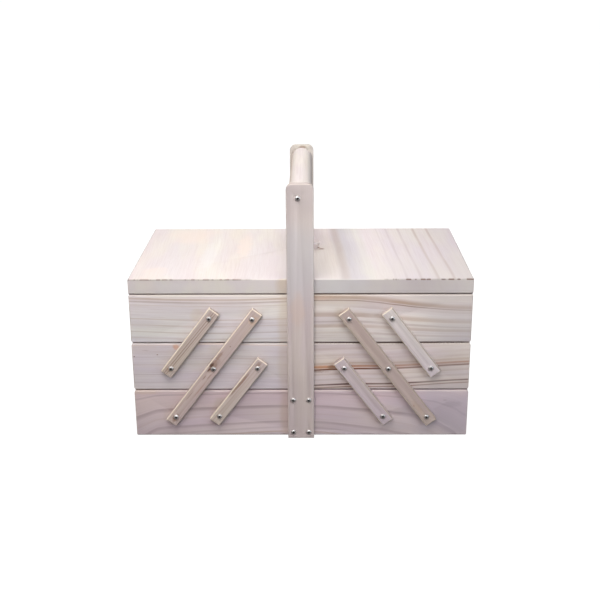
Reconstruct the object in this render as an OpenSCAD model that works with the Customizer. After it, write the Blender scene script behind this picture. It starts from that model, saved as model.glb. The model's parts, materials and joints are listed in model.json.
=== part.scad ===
// Three-tier wooden sewing box with swing-out trays.
// The base stands on the floor. On each side a middle tray and a top tray ride on wooden
// links, front and rear, so that they swing up and out to that side. Each top tray has a
// hinged lid, and two uprights carry a round rail to lift the box by.
// Frame: X to the right, Y to the rear, Z up, origin under the middle of the base.
// Every side piece is drawn on the right and mirrored for the left, and every rear piece
// is drawn at the front and mirrored for the rear.

/* [Box] */
// Width over the base and over the two closed halves
box_w = 320; // [300:1:340]
// Depth of the base over its front and rear boards
box_d = 180; // [170:1:200]
// Height of the base and of each tray
tray_h = 47.2; // [46:0.1:52]
// Gap between one tier and the next
tier_gap = 1; // [0.8:0.1:1.5]
// Gap between the left half and the right half
centre_gap = 1; // [0.6:0.1:3]
// Gap between a tray and the upright that it slides past
slide_gap = 0.5; // [0.4:0.1:0.8]

/* [Boards] */
// Thickness of the front, rear and end boards
wall_t = 8; // [7:0.5:9]
// Thickness of the plywood bottom panels
bottom_t = 3; // [2.5:0.1:4]
// Depth of the groove that holds a bottom panel
groove_depth = 2.5; // [2:0.1:2.8]
// Height of the groove over the lower edge of its board
groove_z = 3; // [2:0.5:4]
// Thickness of the cross dividers
divider_t = 4; // [3:0.5:6]
// Drop from the rim of a tray to the top of its dividers
divider_drop = 4; // [2:1:20]
// Depth of the slots that hold the dividers
slot_depth = 2; // [1.5:0.1:2.2]
// Dividers in each top tray
top_dividers = 2; // [1:1:3]
// Dividers in each middle tray
middle_dividers = 1; // [1:1:3]
// Width of the flat on an eased edge, along each face
ease = 0.8; // [0.4:0.1:1.2]
// Radius of the long outer edges where two tiers meet
corner_r = 2.6; // [1.5:0.1:3.5]

/* [Lids] */
// Thickness of the lids
lid_t = 14.4; // [10:0.1:16]
// Diameter of a knob's head
knob_d = 13; // [11:0.5:16]
// Height of a knob over the lid
knob_h = 8; // [8:0.5:14]
// Distance of the knob on the right lid from the middle of the box
knob_x_right = 12.4; // [11:0.1:30]
// Distance of the knob on the left lid from the middle of the box
knob_x_left = 8.8; // [8:0.1:30]
// Distance of the knobs behind the middle of the lids
knob_y = 13; // [-20:1:20]

/* [Uprights and rail] */
// Width of the uprights
upright_w = 25; // [22:1:28]
// Thickness of the uprights
upright_t = 7; // [6:0.5:8]
// Height of the uprights, which is the height of the whole box
upright_h = 250; // [235:1:280]
// Radius of the upper corners of the uprights
upright_top_r = 6.5; // [2:0.5:8]
// Diameter of the rail
rail_d = 21; // [18:1:24]
// Distance of the rail's axis below the top of the uprights
rail_drop = 13; // [12:1:16]
// Sideways offset of the screws that hold the rail
rail_screw_x = -2; // [-3:0.5:3]

/* [Links] */
// Width of the links
link_w = 12; // [10:0.5:14]
// Thickness of the links
link_t = 5; // [4:0.5:6]
// Length of a link beyond its end pivots
link_overhang = 8.5; // [7:0.5:10]
// How far each link leans in over one tier when the box is closed
link_lean = 37.5; // [35:0.5:40]
// Rise of each link over one tier
link_rise = 49.8; // [49.5:0.1:50.5]
// Distance of a long link's lowest pivot from the middle of the box
long_link_x = 120; // [115:1:125]
// Height of a long link's lowest pivot
long_link_z = 22.5; // [20:0.5:24]
// Distance of an upper short link outward from its long link
upper_link_step = 40; // [36:0.5:42]
// Distance of a lower short link inward from its long link
lower_link_step = 41.7; // [38:0.1:43]
// Height of the short links' pivots over the long links' pivots
short_link_lift = 0.6; // [0:0.1:1.2]

/* [Screws and hinges] */
// Diameter of the pan heads
head_d = 5; // [5:0.5:7]
// Height of the pan heads
head_h = 1.8; // [1.5:0.1:2.5]
// Diameter of the screw shanks
shank_d = 3; // [2.5:0.1:3.5]
// Depth that a screw goes into a board
screw_bite = 5; // [4:0.1:5.2]
// Depth that a rail screw goes into the rail
rail_bite = 24; // [15:1:40]
// Outer diameter of the washers behind the links
washer_d = 9; // [7:0.5:11]
// Height of the upright screws: lower row and upper row
upright_screw_z = [6.8, 40.5];
// Distance of the upright screws from the middle of the box
upright_screw_x = 7.4; // [6:0.1:8]
// Length of each hinge
hinge_l = 30; // [24:1:40]
// Distance of the hinges from the middle of the lid's edge
hinge_y = 52; // [30:1:60]
// Outer diameter of the hinge knuckles
knuckle_d = 3.6; // [3.2:0.1:4]

/* [Hidden] */
$fn = 48;
SIDES = ["left", "right"];
FACES = ["front", "rear"];
TIERS = ["middle", "top"];
BASE = 0;
MIDDLE = 1;
TOP = 2;

// Clearances: between faces that slide, round the pivots, in the glued and screwed joints
play = 0.1;
pivot_play = 0.08;
fit_play = 0.02;
panel_play = 0.3;
slot_play = 0.15;
// Small extra length that carries a cut through a face
past = 1;

pitch = tray_h + tier_gap;
tray_d = box_d - 2 * slide_gap;
half_w = box_w / 2;
tray_x0 = centre_gap / 2;
lid_z = 3 * pitch;
panel_top = groove_z + bottom_t;
rail_z = upright_h - rail_drop;
link_y = box_d / 2 + 1;
link_angle = atan2(link_lean, link_rise);
link_pitch = norm([link_lean, link_rise]);
knob_neck_d = 8;
knob_neck_h = 4;
knob_round = 1.5;
tenon_d = 6;
tenon_h = 8;
leaf_w = 8;
leaf_t = tier_gap / 2 - play / 2;
hinge_pin_d = 1.6;
hinge_x = half_w + knuckle_d / 2 + play;
hinge_z = lid_z - tier_gap / 2;
hinge_screw_d = 1.6;
hinge_head_d = 3.6;
hinge_screw_l = 5;
hinge_screw_x = half_w - leaf_w / 2;
hinge_screw_step = 9;
cross_w = 0.8;
cross_l = 3;
cross_h = 1;

pine = [0.93, 0.87, 0.82];
pine_dark = [0.87, 0.79, 0.73];
link_wood = [0.84, 0.74, 0.68];
ply = [0.90, 0.83, 0.74];
steel = [0.72, 0.72, 0.74];

TRAY_PIECES = [
    "front_board", "rear_board", "outer_board", "inner_board", "bottom_panel", "dividers", "pivot_screws"
];
LINKS = ["long_link", "lower_short_link", "upper_short_link"];

// Pivots on the right half, as [x, z], for the tier that they are screwed to
function long_pivot(tier) = [long_link_x - tier * link_lean, long_link_z + tier * link_rise];
function lower_pivot(tier) = long_pivot(tier) + [-lower_link_step, short_link_lift];
function upper_pivot(tier) = long_pivot(tier) + [upper_link_step, short_link_lift];
function pivots(tier) =
    tier == BASE ? [long_pivot(tier), lower_pivot(tier)]
    : tier == MIDDLE ? [long_pivot(tier), lower_pivot(tier), upper_pivot(tier)]
    : [long_pivot(tier), upper_pivot(tier)];
function tier_index(tier) = tier == "middle" ? MIDDLE : TOP;
function divider_count(tier) = tier == MIDDLE ? middle_dividers : top_dividers;
function divider_xs(tier) =
    let (n = divider_count(tier), room = half_w - tray_x0 - 2 * wall_t)
    [for (i = [1:n]) tray_x0 + wall_t + room * i / (n + 1)];
function hinge_ys() = [-hinge_y, hinge_y];
function hinge_screw_ys() = [for (y = hinge_ys()) for (s = [-1, 1]) y + s * hinge_screw_step];

module on_side(side) {
    if (side == "left") mirror([1, 0, 0]) children();
    else children();
}

module on_face(face) {
    if (face == "rear") mirror([0, 1, 0]) children();
    else children();
}

// Extrudes an outline drawn in Y and Z along X, from x = 0
module along_x(length) {
    rotate([90, 0, 90]) linear_extrude(length) children();
}

// Extrudes an outline drawn in X and Z along Y, from y = 0
module along_y(length) {
    translate([0, length, 0]) rotate([90, 0, 0]) linear_extrude(length) children();
}

// A round rod along Y, from y = 0
module rod_y(d, length) {
    rotate([-90, 0, 0]) cylinder(d = d, h = length);
}

// A rectangle with its corners cut at 45 degrees: lower left, lower right, upper right, upper left
module eased_rect(w, h, cuts = [true, true, true, true]) {
    c = [for (cut = cuts) cut ? ease : 0];
    polygon([
        [c[0], 0], [w - c[1], 0], [w, c[1]], [w, h - c[2]],
        [w - c[2], h], [c[3], h], [0, h - c[3]], [0, c[0]]
    ]);
}

// A rectangle with round corners: lower left, lower right, upper right, upper left
module round_rect(w, h, rounds) {
    r = corner_r;
    c = [for (round = rounds) round ? r : 0];
    translate([r, 0]) square([w - 2 * r, h]);
    translate([0, c[0]]) square([2 * r, h - c[0] - c[3]]);
    translate([w - 2 * r, c[1]]) square([2 * r, h - c[1] - c[2]]);
    if (rounds[0]) translate([r, r]) circle(r);
    if (rounds[1]) translate([w - r, r]) circle(r);
    if (rounds[2]) translate([w - r, h - r]) circle(r);
    if (rounds[3]) translate([r, h - r]) circle(r);
}

// A board that shows its outer face to the front, with its four outer edges and its rim eased
module face_board(w, h, rounds) {
    intersection() {
        linear_extrude(h) eased_rect(w, wall_t, [true, true, false, false]);
        along_x(w) eased_rect(wall_t, h, [true, false, true, true]);
        along_y(wall_t) eased_rect(w, h);
        along_y(wall_t) round_rect(w, h, rounds);
    }
}

// An end board between a front and a rear board, with its outer face towards +X
module end_board(d, h, rounds) {
    intersection() {
        along_y(d) eased_rect(wall_t, h, [false, true, true, true]);
        along_y(d) round_rect(wall_t, h, rounds);
    }
}

// The round corners of a tray's boards, towards the outside
function tray_rounds(tier) = [false, true, tier == MIDDLE, false];

// A block with all its edges eased
module eased_block(w, d, h) {
    intersection() {
        linear_extrude(h) eased_rect(w, d);
        along_x(w) eased_rect(d, h);
        along_y(d) eased_rect(w, h);
    }
}

// The cut for the edge of a bottom panel, around the inside of a box from x0 to x1
module panel_groove(x0, x1, depth) {
    inset = wall_t - groove_depth;
    translate([x0 + inset, -depth / 2 + inset, groove_z])
        cube([x1 - x0 - 2 * inset, depth - 2 * inset, bottom_t + play]);
}

module bottom_panel(x0, x1, depth) {
    inset = wall_t - groove_depth + panel_play;
    translate([x0 + inset, -depth / 2 + inset, groove_z])
        cube([x1 - x0 - 2 * inset, depth - 2 * inset, bottom_t]);
}

// The hole that a screw cuts in the front face of a board at y_face
module pilot_hole(pivot, y_face) {
    translate([pivot[0], y_face - past, pivot[1]])
        rod_y(shank_d + 2 * fit_play, screw_bite + past + fit_play);
}

// The front board of the base, with the holes for both sides' pivots and for the upright
module base_face_board() {
    difference() {
        translate([-half_w, -box_d / 2, 0]) face_board(box_w, tray_h, [false, false, true, true]);
        panel_groove(-half_w, half_w, box_d);
        for (side = SIDES) on_side(side) {
            for (pivot = pivots(BASE)) pilot_hole(pivot, -box_d / 2);
            for (z = upright_screw_z) pilot_hole([upright_screw_x, z], -box_d / 2);
        }
    }
}

module base_end_board() {
    difference() {
        translate([half_w - wall_t, -box_d / 2 + wall_t, 0])
            end_board(box_d - 2 * wall_t, tray_h, [false, false, true, false]);
        panel_groove(-half_w, half_w, box_d);
    }
}

module base_bottom_panel() {
    bottom_panel(-half_w, half_w, box_d);
}

// The slots that hold a tray's dividers, cut down from the rim to the bottom panel
module divider_slots(tier) {
    slot_y = tray_d / 2 - wall_t + slot_depth;
    slot_w = divider_t + 2 * slot_play;
    for (x = divider_xs(tier))
        translate([x - slot_w / 2, -slot_y, panel_top]) cube([slot_w, 2 * slot_y, tray_h]);
}

module tray_face_board(tier) {
    difference() {
        translate([tray_x0, -tray_d / 2, tier * pitch])
            face_board(half_w - tray_x0, tray_h, tray_rounds(tier));
        translate([0, 0, tier * pitch]) panel_groove(tray_x0, half_w, tray_d);
        translate([0, 0, tier * pitch]) divider_slots(tier);
        for (pivot = pivots(tier)) pilot_hole(pivot, -tray_d / 2);
    }
}

module tray_end_board(tier, outer) {
    x = outer ? half_w : tray_x0;
    difference() {
        translate([x, -tray_d / 2 + wall_t, tier * pitch]) {
            if (outer) translate([-wall_t, 0, 0]) end_board(tray_d - 2 * wall_t, tray_h, tray_rounds(tier));
            else mirror([1, 0, 0]) translate([-wall_t, 0, 0])
                end_board(tray_d - 2 * wall_t, tray_h, [false, false, false, false]);
        }
        translate([0, 0, tier * pitch]) panel_groove(tray_x0, half_w, tray_d);
        if (outer && tier == TOP) hinge_screw_holes(lid_z - tier_gap);
    }
}

module tray_bottom_panel(tier) {
    translate([0, 0, tier * pitch]) bottom_panel(tray_x0, half_w, tray_d);
}

module tray_dividers(tier) {
    reach = tray_d / 2 - wall_t + slot_depth - panel_play;
    for (x = divider_xs(tier))
        translate([x - divider_t / 2, -reach, tier * pitch + panel_top])
            cube([divider_t, 2 * reach, tray_h - panel_top - divider_drop]);
}

// An upright at the front, standing against the base
module upright() {
    r = upright_top_r;
    difference() {
        intersection() {
            translate([0, -box_d / 2 - upright_t, 0]) along_y(upright_t) union() {
                translate([-upright_w / 2 + r, 0]) square([upright_w - 2 * r, upright_h]);
                translate([-upright_w / 2, 0]) square([upright_w, upright_h - r]);
                for (s = [-1, 1]) translate([s * (upright_w / 2 - r), upright_h - r]) circle(r);
            }
            translate([-upright_w / 2, -box_d / 2 - upright_t, 0])
                linear_extrude(upright_h) eased_rect(upright_w, upright_t, [true, true, false, false]);
            translate([-upright_w / 2, -box_d / 2 - upright_t, 0])
                along_x(upright_w) eased_rect(upright_t, upright_h, [true, false, true, true]);
        }
        for (s = [-1, 1]) for (z = upright_screw_z) upright_hole(s * upright_screw_x, z);
        upright_hole(rail_screw_x, rail_z);
    }
}

module upright_hole(x, z) {
    translate([x, -box_d / 2 - upright_t - past, z])
        rod_y(shank_d + 2 * fit_play, upright_t + 2 * past);
}

module handle_rail() {
    difference() {
        translate([0, -box_d / 2, rail_z]) rod_y(rail_d, box_d);
        for (face = FACES) on_face(face)
            translate([rail_screw_x, -box_d / 2 - past, rail_z])
                rod_y(shank_d + 2 * fit_play, rail_bite + past + fit_play);
    }
}

// A pan-head screw along Y, with the underside of its head at y = 0 and its shank towards +Y
module pan_screw(length) {
    crown = head_h / 2;
    difference() {
        union() {
            rod_y(shank_d, length);
            rotate([90, 0, 0]) rotate_extrude() polygon(concat(
                [[0, 0], [head_d / 2, 0]],
                [for (a = [0:15:90]) [head_d / 2 - crown + crown * cos(a), head_h - crown + crown * sin(a)]],
                [[0, head_h]]
            ));
        }
        for (turn = [0, 90]) rotate([0, turn, 0])
            translate([-cross_l / 2, -head_h - past, -cross_w / 2]) cube([cross_l, past + cross_h, cross_w]);
    }
}

module washer(thickness) {
    difference() {
        rod_y(washer_d, thickness);
        translate([0, -past, 0]) rod_y(shank_d + 2 * pivot_play, thickness + 2 * past);
    }
}

// The pivot screws and washers of one tier, front and rear, on a board whose face is at face_y
module pivot_screws(tier, face_y) {
    head_seat = link_y + link_t + play;
    washer_t = link_y - play - face_y;
    for (face = FACES) on_face(face) for (pivot = pivots(tier)) translate([pivot[0], 0, pivot[1]]) {
        translate([0, -head_seat, 0]) pan_screw(head_seat - face_y + screw_bite);
        translate([0, -face_y - washer_t, 0]) washer(washer_t);
    }
}

module base_pivot_screws() {
    for (side = SIDES) on_side(side) pivot_screws(BASE, box_d / 2);
}

module upright_screws() {
    for (face = FACES) on_face(face) for (s = [-1, 1]) for (z = upright_screw_z)
        translate([s * upright_screw_x, -box_d / 2 - upright_t, z]) pan_screw(upright_t + screw_bite);
}

module rail_screws() {
    for (face = FACES) on_face(face)
        translate([rail_screw_x, -box_d / 2 - upright_t, rail_z]) pan_screw(upright_t + rail_bite);
}

// A link at the front, leaning in from its lowest pivot, with a pivot hole for each tier it meets
module link(lowest, tiers) {
    length = tiers * link_pitch + 2 * link_overhang;
    translate([lowest[0], -link_y - link_t, lowest[1]]) rotate([0, -link_angle, 0]) difference() {
        translate([-link_w / 2, 0, -link_overhang]) eased_block(link_w, link_t, length);
        for (i = [0:tiers]) translate([0, -past, i * link_pitch])
            rod_y(shank_d + 2 * pivot_play, link_t + 2 * past);
    }
}

module lid(knob_x) {
    difference() {
        translate([tray_x0, -tray_d / 2, lid_z]) eased_block(half_w - tray_x0, tray_d, lid_t);
        translate([knob_x, knob_y, lid_z + lid_t - tenon_h - play])
            cylinder(d = tenon_d + 2 * fit_play, h = tenon_h + play + past);
        hinge_screw_holes(lid_z);
    }
}

module knob(knob_x) {
    head_r = knob_d / 2;
    translate([knob_x, knob_y, lid_z + lid_t]) union() {
        translate([0, 0, -tenon_h]) cylinder(d = tenon_d, h = tenon_h);
        cylinder(d = knob_neck_d, h = knob_neck_h);
        rotate_extrude() union() {
            translate([0, knob_neck_h]) square([head_r - knob_round, knob_h - knob_neck_h]);
            translate([0, knob_neck_h + knob_round]) square([head_r, knob_h - knob_neck_h - 2 * knob_round]);
            for (z = [knob_neck_h + knob_round, knob_h - knob_round])
                translate([head_r - knob_round, z]) circle(knob_round);
        }
    }
}

// Holes for the hinge screws, up and down from the surface at height z
module hinge_screw_holes(z) {
    for (y = hinge_screw_ys()) translate([hinge_screw_x, y, z - hinge_screw_l - fit_play])
        cylinder(d = hinge_screw_d + 2 * fit_play, h = 2 * (hinge_screw_l + fit_play));
}

// One third of a knuckle's length, numbered 0 to 2 from the front, as [start, length]
function knuckle_part(i) = [
    (i - 1.5) * hinge_l / 3 + (i == 0 ? 0 : play / 2),
    hinge_l / 3 - (i == 1 ? play : play / 2)
];

// One leaf of a hinge, below the axis for the tray and above it for the lid, with its screws
module hinge_leaf(knuckles, up) {
    flip = up ? 1 : 0;
    difference() {
        union() {
            for (i = knuckles) let (part = knuckle_part(i)) {
                translate([hinge_x, part[0], hinge_z]) rod_y(knuckle_d, part[1]);
                translate([half_w - leaf_w, part[0], hinge_z + (up ? play / 2 : -leaf_t - play / 2)])
                    cube([leaf_w + knuckle_d / 2, part[1], leaf_t]);
            }
            translate([half_w - leaf_w, -hinge_l / 2, hinge_z + (up ? play / 2 : -leaf_t - play / 2)])
                cube([leaf_w, hinge_l, leaf_t]);
        }
        translate([hinge_x, -hinge_l, hinge_z])
            rod_y(hinge_pin_d + 2 * (up ? pivot_play : fit_play), 2 * hinge_l);
        for (s = [-1, 1]) translate([hinge_screw_x, s * hinge_screw_step, hinge_z]) mirror([0, 0, 1 - flip])
            cylinder(d = hinge_head_d + 2 * fit_play, h = tier_gap);
    }
    for (s = [-1, 1]) translate([hinge_screw_x, s * hinge_screw_step, hinge_z]) mirror([0, 0, 1 - flip]) {
        translate([0, 0, play / 2]) cylinder(d = hinge_head_d, h = leaf_t);
        translate([0, 0, play / 2 + leaf_t]) cylinder(d = hinge_screw_d, h = hinge_screw_l);
    }
}

// The tray's leaves of both hinges, with the pins that their outer knuckles hold
module hinge_tray_leaves() {
    for (y = hinge_ys()) translate([0, y, 0]) {
        hinge_leaf([0, 2], false);
        translate([hinge_x, -hinge_l / 2, hinge_z]) rod_y(hinge_pin_d, hinge_l);
    }
}

module hinge_lid_leaves() {
    for (y = hinge_ys()) translate([0, y, 0]) hinge_leaf([1], true);
}

color(pine) base_face_board();  // base_front_board
color(pine) on_face("rear") base_face_board();  // base_rear_board
color(pine_dark) on_side("left") base_end_board();  // base_left_board
color(pine_dark) base_end_board();  // base_right_board
color(ply) base_bottom_panel();
color(steel) base_pivot_screws();
color(pine) handle_rail();
color(steel) rail_screws();
color(steel) upright_screws();

for (face = FACES) {
    color(pine_dark) on_face(face) upright();
}

for (side = SIDES) for (tier = TIERS) {
    tray = str(side, "_", tier, "_tray_");
    t = tier_index(tier);
    color(pine) on_side(side) tray_face_board(t);
    color(pine) on_side(side) on_face("rear") tray_face_board(t);
    color(pine_dark) on_side(side) tray_end_board(t, true);
    color(pine_dark) on_side(side) tray_end_board(t, false);
    color(ply) on_side(side) tray_bottom_panel(t);
    color(ply) on_side(side) tray_dividers(t);
    color(steel) on_side(side) pivot_screws(t, tray_d / 2);
}

for (side = SIDES) for (face = FACES) {
    name = str(side, "_", face, "_");
    color(link_wood) on_side(side) on_face(face) link(long_pivot(BASE), 2);
    color(link_wood) on_side(side) on_face(face) link(lower_pivot(BASE), 1);
    color(link_wood) on_side(side) on_face(face) link(upper_pivot(MIDDLE), 1);
}

for (side = SIDES) {
    knob_x = side == "left" ? knob_x_left : knob_x_right;
    color(pine) on_side(side) lid(knob_x);
    color(pine_dark) on_side(side) knob(knob_x);
    color(steel) on_side(side) hinge_tray_leaves();
    color(steel) on_side(side) hinge_lid_leaves();
}
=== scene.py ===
"""Looks for the three-tier wooden sewing box: pine boards, links, screws, light and camera.

Every CAD node keeps its shape. Most nodes get soft edges from modifiers. The wood has a solid pine
material with growth rings that run through the board, so that faces, edges and end grain agree.
The screws are replaced by pan heads with a real cross recess. All lengths are in metres, apart
from the wood materials, which work in millimetres.
"""

import json
import math

import bmesh
import bpy
from mathutils import Matrix, Vector


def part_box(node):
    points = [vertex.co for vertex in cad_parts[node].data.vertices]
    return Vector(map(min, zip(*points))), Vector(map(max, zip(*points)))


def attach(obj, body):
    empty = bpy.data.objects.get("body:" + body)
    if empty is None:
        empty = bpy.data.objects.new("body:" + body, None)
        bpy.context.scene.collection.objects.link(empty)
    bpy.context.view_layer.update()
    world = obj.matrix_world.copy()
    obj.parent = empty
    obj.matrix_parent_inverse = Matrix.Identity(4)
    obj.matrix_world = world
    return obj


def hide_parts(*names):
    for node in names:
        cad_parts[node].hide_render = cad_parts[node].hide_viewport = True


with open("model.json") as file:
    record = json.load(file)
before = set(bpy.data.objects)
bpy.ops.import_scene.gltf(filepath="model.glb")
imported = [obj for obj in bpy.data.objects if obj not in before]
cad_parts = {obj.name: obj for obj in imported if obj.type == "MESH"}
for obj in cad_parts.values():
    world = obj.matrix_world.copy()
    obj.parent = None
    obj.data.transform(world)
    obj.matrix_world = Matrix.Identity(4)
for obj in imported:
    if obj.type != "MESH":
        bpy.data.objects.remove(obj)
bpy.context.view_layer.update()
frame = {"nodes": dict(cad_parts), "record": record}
NODES = frame["nodes"]
MM = 0.001
# Corners closer together than this are one corner
SAME_PLACE = 0.000002


# ---------------------------------------------------------------- shader graph helper
class Graph:
    """A small helper that adds nodes and links to a node tree."""

    def __init__(self, tree):
        self.tree = tree

    def node(self, kind, **settings):
        made = self.tree.nodes.new(kind)
        for name, value in settings.items():
            setattr(made, name, value)
        return made

    def feed(self, socket, value):
        if isinstance(value, bpy.types.NodeSocket):
            self.tree.links.new(value, socket)
        elif value is not None:
            socket.default_value = value

    def math(self, operation, a, b=None, c=None):
        made = self.node("ShaderNodeMath", operation=operation)
        for socket, value in zip(made.inputs, (a, b, c)):
            self.feed(socket, value)
        return made.outputs[0]

    def add(self, a, b):
        return self.math("ADD", a, b)

    def sub(self, a, b):
        return self.math("SUBTRACT", a, b)

    def mul(self, a, b):
        return self.math("MULTIPLY", a, b)

    def remap(self, value, low, high, to_low=0.0, to_high=1.0, smooth=True):
        made = self.node("ShaderNodeMapRange", interpolation_type="SMOOTHSTEP" if smooth else "LINEAR")
        for socket, given in zip(made.inputs, (value, low, high, to_low, to_high)):
            self.feed(socket, given)
        return made.outputs[0]

    def split(self, vector):
        made = self.node("ShaderNodeSeparateXYZ")
        self.feed(made.inputs[0], vector)
        return made.outputs

    def join(self, x, y, z):
        made = self.node("ShaderNodeCombineXYZ")
        for socket, value in zip(made.inputs, (x, y, z)):
            self.feed(socket, value)
        return made.outputs[0]

    def noise(self, vector, scale, detail=2.0, roughness=0.5, dimensions="3D", w=None):
        made = self.node("ShaderNodeTexNoise", noise_dimensions=dimensions)
        if dimensions != "1D":
            self.feed(made.inputs["Vector"], vector)
        if w is not None:
            self.feed(made.inputs["W"], w)
        made.inputs["Scale"].default_value = scale
        made.inputs["Detail"].default_value = detail
        made.inputs["Roughness"].default_value = roughness
        return made.outputs[0]

    def mix(self, factor, a, b, blend="MIX"):
        made = self.node("ShaderNodeMix", data_type="RGBA", blend_type=blend)
        self.feed(made.inputs["Factor"], factor)
        self.feed(made.inputs["A"], a)
        self.feed(made.inputs["B"], b)
        return made.outputs["Result"]

    def ramp(self, factor, stops, interpolation="LINEAR"):
        """A grey ramp: stops are (position, value), positions rising from 0 to 1."""
        made = self.node("ShaderNodeValToRGB")
        made.color_ramp.interpolation = interpolation
        elements = made.color_ramp.elements
        while len(elements) < len(stops):
            elements.new(0.5)
        for element, (position, value) in zip(elements, stops):
            element.position = position
            element.color = (value, value, value, 1.0)
        self.feed(made.inputs[0], factor)
        return made.outputs[0]


def rgba(colour):
    return (*colour, 1.0)


# ---------------------------------------------------------------- pine
PINE_INPUTS = (
    # name, kind, default
    ("Grain", "NodeSocketVector", (0.0, 0.0, 0.0)),
    ("Flow", "NodeSocketFloat", 0.0),
    ("Pith across", "NodeSocketFloat", -200.0),
    ("Pith depth", "NodeSocketFloat", 60.0),
    ("Radius", "NodeSocketFloat", 200.0),
    ("Wobble", "NodeSocketFloat", 1.0),
    ("Spacing", "NodeSocketFloat", 5.0),
    ("Ring strength", "NodeSocketFloat", 0.5),
    ("Seed", "NodeSocketFloat", 0.0),
    ("End grain", "NodeSocketFloat", 0.0),
    ("Figure", "NodeSocketFloat", 1.0),
    ("Pale", "NodeSocketColor", (0.8, 0.7, 0.6, 1.0)),
    ("Late", "NodeSocketColor", (0.5, 0.3, 0.2, 1.0)),
)


def pine_group():
    """Solid pine. Grain is a point in millimetres: along, across and through the board.

    Growth rings are cylinders round a pith beside the board, shifted across it by Flow.
    Outputs the wood's colour, the ring coordinate in millimetres and a relief height.
    """
    tree = bpy.data.node_groups.new("pine", "ShaderNodeTree")
    for name, kind, default in PINE_INPUTS:
        socket = tree.interface.new_socket(name, in_out="INPUT", socket_type=kind)
        socket.default_value = default
    tree.interface.new_socket("Colour", in_out="OUTPUT", socket_type="NodeSocketColor")
    tree.interface.new_socket("Ring coordinate", in_out="OUTPUT", socket_type="NodeSocketFloat")
    tree.interface.new_socket("Relief", in_out="OUTPUT", socket_type="NodeSocketFloat")
    g = Graph(tree)
    given = g.node("NodeGroupInput").outputs
    along, across, depth = g.split(given["Grain"])
    seed = given["Seed"]

    # the log isn't straight: slow bends along the grain
    bend_at = g.join(g.mul(along, 0.011), g.mul(across, 0.012), g.add(seed, g.mul(depth, 0.02)))
    bend = g.mul(g.sub(g.noise(bend_at, 1.0, 2.0, 0.45), 0.5), 2.0)
    straight = g.sub(g.sub(across, given["Flow"]), g.mul(bend, given["Wobble"]))
    a = g.sub(straight, given["Pith across"])
    d = g.sub(depth, given["Pith depth"])
    radius = g.math("SQRT", g.add(g.mul(a, a), g.mul(d, d)))
    ring = g.sub(radius, given["Radius"])

    # rings of uneven width and strength: soft on the early side, sharp on the late side
    uneven_at = g.add(ring, g.mul(seed, 31.0))
    uneven = g.mul(g.sub(g.noise(None, 0.09, 1.0, dimensions="1D", w=uneven_at), 0.5), 9.0)
    phase = g.math("DIVIDE", g.add(ring, uneven), given["Spacing"])
    late = g.ramp(g.math("FRACT", phase), ((0.0, 0.0), (0.45, 0.06), (0.78, 0.4), (0.93, 1.0), (1.0, 0.0)))
    pick = g.node("ShaderNodeTexWhiteNoise", noise_dimensions="1D")
    g.feed(pick.inputs["W"], g.add(g.math("FLOOR", phase), g.mul(seed, 7.3)))
    strength = g.mul(g.remap(pick.outputs["Value"], 0.2, 1.0, 0.08, 1.0), given["Ring strength"])
    fade_at = g.join(g.mul(along, 0.02), g.mul(across, 0.05), seed)
    fade = g.remap(g.noise(fade_at, 1.0, 2.0), 0.3, 0.65, 0.35, 1.0)
    dark = g.mul(g.mul(late, strength), fade)

    # fibres, streaks and pores, all long along the grain
    fibre_at = g.join(g.mul(along, 0.03), g.mul(straight, 1.5), g.add(g.mul(depth, 1.5), seed))
    fibre = g.noise(fibre_at, 1.0, 4.0, 0.62)
    streak_at = g.join(g.mul(along, 0.010), g.mul(straight, 0.36), g.add(g.mul(depth, 0.35), seed))
    streak = g.noise(streak_at, 1.0, 3.0, 0.6)
    pore_at = g.join(g.mul(along, 0.14), g.mul(straight, 3.2), g.add(g.mul(depth, 3.2), seed))
    pore = g.remap(g.noise(pore_at, 1.0, 1.0), 0.70, 0.78)

    # slow drift of the tone between cream and lavender
    drift_depth = g.add(g.mul(depth, 0.04), g.mul(seed, 3.0))
    drift_at = g.join(g.mul(along, 0.010), g.mul(straight, 0.045), drift_depth)
    drift = g.remap(g.noise(drift_at, 1.0, 2.0, 0.5), 0.32, 0.68)
    cream = g.mix(1.0, given["Pale"], (1.02, 1.025, 0.985, 1.0), "MULTIPLY")
    lavender = g.mix(1.0, given["Pale"], (0.975, 0.955, 1.0, 1.0), "MULTIPLY")
    pale = g.mix(drift, cream, lavender)
    figure = given["Figure"]
    light_streak = g.mix(1.0, pale, (1.05, 1.055, 1.04, 1.0), "MULTIPLY")
    dark_streak = g.mix(0.26, pale, given["Late"])
    side_grain = g.sub(1.0, given["End grain"])
    fibre = g.mul(fibre, side_grain)
    figure = g.mul(figure, g.add(g.mul(side_grain, 0.75), 0.25))
    pore = g.mul(pore, side_grain)
    pale = g.mix(g.mul(g.remap(streak, 0.52, 0.36), figure), pale, light_streak)
    pale = g.mix(g.mul(g.remap(streak, 0.52, 0.74), figure), pale, dark_streak)
    pale = g.mix(g.mul(g.remap(fibre, 0.40, 0.72, smooth=False), 0.16), pale, given["Late"])
    pale = g.mix(g.mul(pore, 0.14), pale, given["Late"])
    colour = g.mix(dark, pale, given["Late"])

    out = g.node("NodeGroupOutput")
    g.feed(out.inputs["Colour"], colour)
    g.feed(out.inputs["Ring coordinate"], ring)
    g.feed(out.inputs["Relief"], g.sub(g.add(g.mul(dark, 0.5), g.mul(fibre, 0.8)), pore))
    return tree


PINE = pine_group()
AXES = {"X": Vector((1, 0, 0)), "Y": Vector((0, 1, 0)), "Z": Vector((0, 0, 1))}
PALE = (0.70, 0.60, 0.575)
LATE = (0.40, 0.25, 0.20)
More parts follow.
